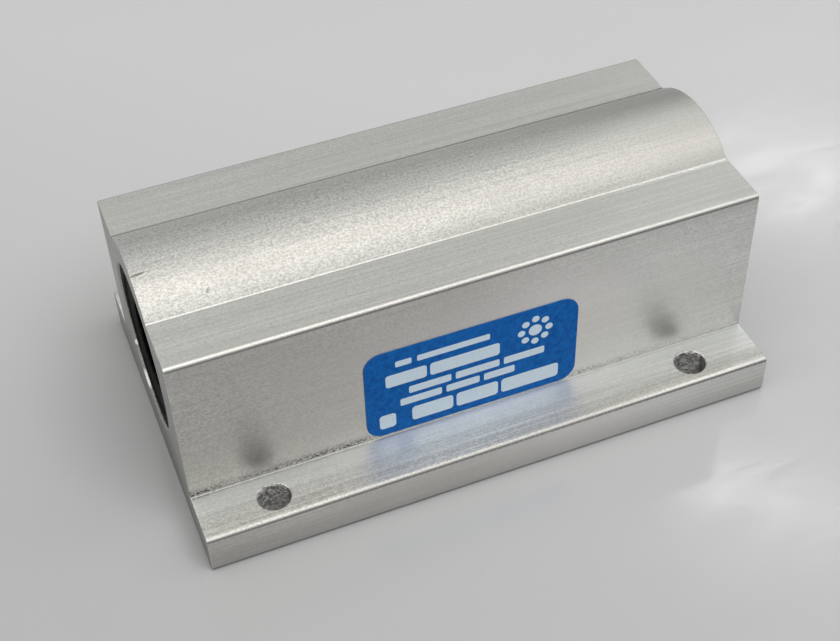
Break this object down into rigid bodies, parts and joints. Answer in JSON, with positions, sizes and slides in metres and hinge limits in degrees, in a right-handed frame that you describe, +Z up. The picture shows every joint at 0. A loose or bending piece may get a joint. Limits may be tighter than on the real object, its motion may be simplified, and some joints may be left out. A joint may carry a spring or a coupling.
{
  "type": "linear ball bushing pillow block",
  "caption": "Closed linear ball bushing pillow block: an aluminium block with a domed top and flanged base carries recirculating ball bushings on a shaft.",
  "frame": {"origin": "centre of the base's underside", "axes": "+X along the shaft, +Y away from the labelled side, +Z up from the base"},
  "size_m": [0.1016, 0.0636, 0.0413],
  "materials": {
    "aluminium": "satin extruded aluminium with fine lines along the shaft",
    "label_print": null,
    "seal_rubber": "moulded black rubber",
    "spring_steel": "phosphated spring steel",
    "race_steel": "ground hardened steel",
    "ball_steel": "polished bearing steel",
    "retainer_polymer": "moulded natural acetal",
    "sleeve_polymer": "moulded black polymer"
  },
  "bodies": {
    "block": {"pillow_block_housing": "aluminium", "label": "label_print", "left_end_seal": "seal_rubber", "right_end_seal": "seal_rubber", "snap_ring_1": "spring_steel", "snap_ring_2": "spring_steel", "snap_ring_3": "spring_steel", "snap_ring_4": "spring_steel", "left_bushing_race_ring": "race_steel", "left_bushing_ball_retainer": "retainer_polymer", "left_bushing_outer_sleeve": "sleeve_polymer", "left_bushing_inner_sleeve": "sleeve_polymer", "left_bushing_return_balls_1": "ball_steel", "left_bushing_return_balls_2": "ball_steel", "left_bushing_return_balls_3": "ball_steel", "left_bushing_return_balls_4": "ball_steel", "left_bushing_return_balls_5": "ball_steel", "right_bushing_race_ring": "race_steel", "right_bushing_ball_retainer": "retainer_polymer", "right_bushing_outer_sleeve": "sleeve_polymer", "right_bushing_inner_sleeve": "sleeve_polymer", "right_bushing_return_balls_1": "ball_steel", "right_bushing_return_balls_2": "ball_steel", "right_bushing_return_balls_3": "ball_steel", "right_bushing_return_balls_4": "ball_steel", "right_bushing_return_balls_5": "ball_steel"},
    "left_plate_1": {"left_bushing_bearing_plate_1": "race_steel"},
    "left_loaded_row_1a": {"left_bushing_loaded_balls_1a": "ball_steel"},
    "left_loaded_row_1b": {"left_bushing_loaded_balls_1b": "ball_steel"},
    "left_plate_2": {"left_bushing_bearing_plate_2": "race_steel"},
    "left_loaded_row_2a": {"left_bushing_loaded_balls_2a": "ball_steel"},
    "left_loaded_row_2b": {"left_bushing_loaded_balls_2b": "ball_steel"},
    "left_plate_3": {"left_bushing_bearing_plate_3": "race_steel"},
    "left_loaded_row_3a": {"left_bushing_loaded_balls_3a": "ball_steel"},
    "left_loaded_row_3b": {"left_bushing_loaded_balls_3b": "ball_steel"},
    "left_plate_4": {"left_bushing_bearing_plate_4": "race_steel"},
    "left_loaded_row_4a": {"left_bushing_loaded_balls_4a": "ball_steel"},
    "left_loaded_row_4b": {"left_bushing_loaded_balls_4b": "ball_steel"},
    "left_plate_5": {"left_bushing_bearing_plate_5": "race_steel"},
    "left_loaded_row_5a": {"left_bushing_loaded_balls_5a": "ball_steel"},
    "left_loaded_row_5b": {"left_bushing_loaded_balls_5b": "ball_steel"},
    "right_plate_1": {"right_bushing_bearing_plate_1": "race_steel"},
    "right_loaded_row_1a": {"right_bushing_loaded_balls_1a": "ball_steel"},
    "right_loaded_row_1b": {"right_bushing_loaded_balls_1b": "ball_steel"},
    "right_plate_2": {"right_bushing_bearing_plate_2": "race_steel"},
    "right_loaded_row_2a": {"right_bushing_loaded_balls_2a": "ball_steel"},
    "right_loaded_row_2b": {"right_bushing_loaded_balls_2b": "ball_steel"},
    "right_plate_3": {"right_bushing_bearing_plate_3": "race_steel"},
    "right_loaded_row_3a": {"right_bushing_loaded_balls_3a": "ball_steel"},
    "right_loaded_row_3b": {"right_bushing_loaded_balls_3b": "ball_steel"},
    "right_plate_4": {"right_bushing_bearing_plate_4": "race_steel"},
    "right_loaded_row_4a": {"right_bushing_loaded_balls_4a": "ball_steel"},
    "right_loaded_row_4b": {"right_bushing_loaded_balls_4b": "ball_steel"},
    "right_plate_5": {"right_bushing_bearing_plate_5": "race_steel"},
    "right_loaded_row_5a": {"right_bushing_loaded_balls_5a": "ball_steel"},
    "right_loaded_row_5b": {"right_bushing_loaded_balls_5b": "ball_steel"}
  },
  "joints": [
    {"name": "left_plate_1_rock", "type": "hinge", "parent": "block", "child": "left_plate_1", "pos_m": [-0.02535, 0, 0.03467], "axis": [0, -1, 0], "range_deg": [-0.5, 0.5]},
    {"name": "left_loaded_row_1a_roll", "type": "slide", "parent": "block", "child": "left_loaded_row_1a", "axis": [1, 0, 0], "range_m": [-0.0012, 0.0012]},
    {"name": "left_loaded_row_1b_roll", "type": "slide", "parent": "block", "child": "left_loaded_row_1b", "axis": [1, 0, 0], "range_m": [-0.0012, 0.0012]},
    {"name": "left_plate_2_rock", "type": "hinge", "parent": "block", "child": "left_plate_2", "pos_m": [-0.02535, -0.01184, 0.02607], "axis": [0, -0.309, -0.9511], "range_deg": [-0.5, 0.5]},
    {"name": "left_loaded_row_2a_roll", "type": "slide", "parent": "block", "child": "left_loaded_row_2a", "axis": [1, 0, 0], "range_m": [-0.0012, 0.0012]},
    {"name": "left_loaded_row_2b_roll", "type": "slide", "parent": "block", "child": "left_loaded_row_2b", "axis": [1, 0, 0], "range_m": [-0.0012, 0.0012]},
    {"name": "left_plate_3_rock", "type": "hinge", "parent": "block", "child": "left_plate_3", "pos_m": [-0.02535, -0.00732, 0.01215], "axis": [0, 0.809, -0.5878], "range_deg": [-0.5, 0.5]},
    {"name": "left_loaded_row_3a_roll", "type": "slide", "parent": "block", "child": "left_loaded_row_3a", "axis": [1, 0, 0], "range_m": [-0.0012, 0.0012]},
    {"name": "left_loaded_row_3b_roll", "type": "slide", "parent": "block", "child": "left_loaded_row_3b", "axis": [1, 0, 0], "range_m": [-0.0012, 0.0012]},
    {"name": "left_plate_4_rock", "type": "hinge", "parent": "block", "child": "left_plate_4", "pos_m": [-0.02535, 0.00732, 0.01215], "axis": [0, 0.809, 0.5878], "range_deg": [-0.5, 0.5]},
    {"name": "left_loaded_row_4a_roll", "type": "slide", "parent": "block", "child": "left_loaded_row_4a", "axis": [1, 0, 0], "range_m": [-0.0012, 0.0012]},
    {"name": "left_loaded_row_4b_roll", "type": "slide", "parent": "block", "child": "left_loaded_row_4b", "axis": [1, 0, 0], "range_m": [-0.0012, 0.0012]},
    {"name": "left_plate_5_rock", "type": "hinge", "parent": "block", "child": "left_plate_5", "pos_m": [-0.02535, 0.01184, 0.02607], "axis": [0, -0.309, 0.9511], "range_deg": [-0.5, 0.5]},
    {"name": "left_loaded_row_5a_roll", "type": "slide", "parent": "block", "child": "left_loaded_row_5a", "axis": [1, 0, 0], "range_m": [-0.0012, 0.0012]},
    {"name": "left_loaded_row_5b_roll", "type": "slide", "parent": "block", "child": "left_loaded_row_5b", "axis": [1, 0, 0], "range_m": [-0.0012, 0.0012]},
    {"name": "right_plate_1_rock", "type": "hinge", "parent": "block", "child": "right_plate_1", "pos_m": [0.02535, 0, 0.03467], "axis": [0, -1, 0], "range_deg": [-0.5, 0.5]},
    {"name": "right_loaded_row_1a_roll", "type": "slide", "parent": "block", "child": "right_loaded_row_1a", "axis": [1, 0, 0], "range_m": [-0.0012, 0.0012]},
    {"name": "right_loaded_row_1b_roll", "type": "slide", "parent": "block", "child": "right_loaded_row_1b", "axis": [1, 0, 0], "range_m": [-0.0012, 0.0012]},
    {"name": "right_plate_2_rock", "type": "hinge", "parent": "block", "child": "right_plate_2", "pos_m": [0.02535, -0.01184, 0.02607], "axis": [0, -0.309, -0.9511], "range_deg": [-0.5, 0.5]},
    {"name": "right_loaded_row_2a_roll", "type": "slide", "parent": "block", "child": "right_loaded_row_2a", "axis": [1, 0, 0], "range_m": [-0.0012, 0.0012]},
    {"name": "right_loaded_row_2b_roll", "type": "slide", "parent": "block", "child": "right_loaded_row_2b", "axis": [1, 0, 0], "range_m": [-0.0012, 0.0012]},
    {"name": "right_plate_3_rock", "type": "hinge", "parent": "block", "child": "right_plate_3", "pos_m": [0.02535, -0.00732, 0.01215], "axis": [0, 0.809, -0.5878], "range_deg": [-0.5, 0.5]},
    {"name": "right_loaded_row_3a_roll", "type": "slide", "parent": "block", "child": "right_loaded_row_3a", "axis": [1, 0, 0], "range_m": [-0.0012, 0.0012]},
    {"name": "right_loaded_row_3b_roll", "type": "slide", "parent": "block", "child": "right_loaded_row_3b", "axis": [1, 0, 0], "range_m": [-0.0012, 0.0012]},
    {"name": "right_plate_4_rock", "type": "hinge", "parent": "block", "child": "right_plate_4", "pos_m": [0.02535, 0.00732, 0.01215], "axis": [0, 0.809, 0.5878], "range_deg": [-0.5, 0.5]},
    {"name": "right_loaded_row_4a_roll", "type": "slide", "parent": "block", "child": "right_loaded_row_4a", "axis": [1, 0, 0], "range_m": [-0.0012, 0.0012]},
    {"name": "right_loaded_row_4b_roll", "type": "slide", "parent": "block", "child": "right_loaded_row_4b", "axis": [1, 0, 0], "range_m": [-0.0012, 0.0012]},
    {"name": "right_plate_5_rock", "type": "hinge", "parent": "block", "child": "right_plate_5", "pos_m": [0.02535, 0.01184, 0.02607], "axis": [0, -0.309, 0.9511], "range_deg": [-0.5, 0.5]},
    {"name": "right_loaded_row_5a_roll", "type": "slide", "parent": "block", "child": "right_loaded_row_5a", "axis": [1, 0, 0], "range_m": [-0.0012, 0.0012]},
    {"name": "right_loaded_row_5b_roll", "type": "slide", "parent": "block", "child": "right_loaded_row_5b", "axis": [1, 0, 0], "range_m": [-0.0012, 0.0012]}
  ],
  "couplings": [
    {"joint": "left_loaded_row_1b_roll", "follows": "left_loaded_row_1a_roll", "ratio": 1},
    {"joint": "left_loaded_row_2a_roll", "follows": "left_loaded_row_1a_roll", "ratio": 1},
    {"joint": "left_loaded_row_2b_roll", "follows": "left_loaded_row_1a_roll", "ratio": 1},
    {"joint": "left_loaded_row_3a_roll", "follows": "left_loaded_row_1a_roll", "ratio": 1},
    {"joint": "left_loaded_row_3b_roll", "follows": "left_loaded_row_1a_roll", "ratio": 1},
    {"joint": "left_loaded_row_4a_roll", "follows": "left_loaded_row_1a_roll", "ratio": 1},
    {"joint": "left_loaded_row_4b_roll", "follows": "left_loaded_row_1a_roll", "ratio": 1},
    {"joint": "left_loaded_row_5a_roll", "follows": "left_loaded_row_1a_roll", "ratio": 1},
    {"joint": "left_loaded_row_5b_roll", "follows": "left_loaded_row_1a_roll", "ratio": 1},
    {"joint": "right_loaded_row_1a_roll", "follows": "left_loaded_row_1a_roll", "ratio": 1},
    {"joint": "right_loaded_row_1b_roll", "follows": "left_loaded_row_1a_roll", "ratio": 1},
    {"joint": "right_loaded_row_2a_roll", "follows": "left_loaded_row_1a_roll", "ratio": 1},
    {"joint": "right_loaded_row_2b_roll", "follows": "left_loaded_row_1a_roll", "ratio": 1},
    {"joint": "right_loaded_row_3a_roll", "follows": "left_loaded_row_1a_roll", "ratio": 1},
    {"joint": "right_loaded_row_3b_roll", "follows": "left_loaded_row_1a_roll", "ratio": 1},
    {"joint": "right_loaded_row_4a_roll", "follows": "left_loaded_row_1a_roll", "ratio": 1},
    {"joint": "right_loaded_row_4b_roll", "follows": "left_loaded_row_1a_roll", "ratio": 1},
    {"joint": "right_loaded_row_5a_roll", "follows": "left_loaded_row_1a_roll", "ratio": 1},
    {"joint": "right_loaded_row_5b_roll", "follows": "left_loaded_row_1a_roll", "ratio": 1}
  ]
}
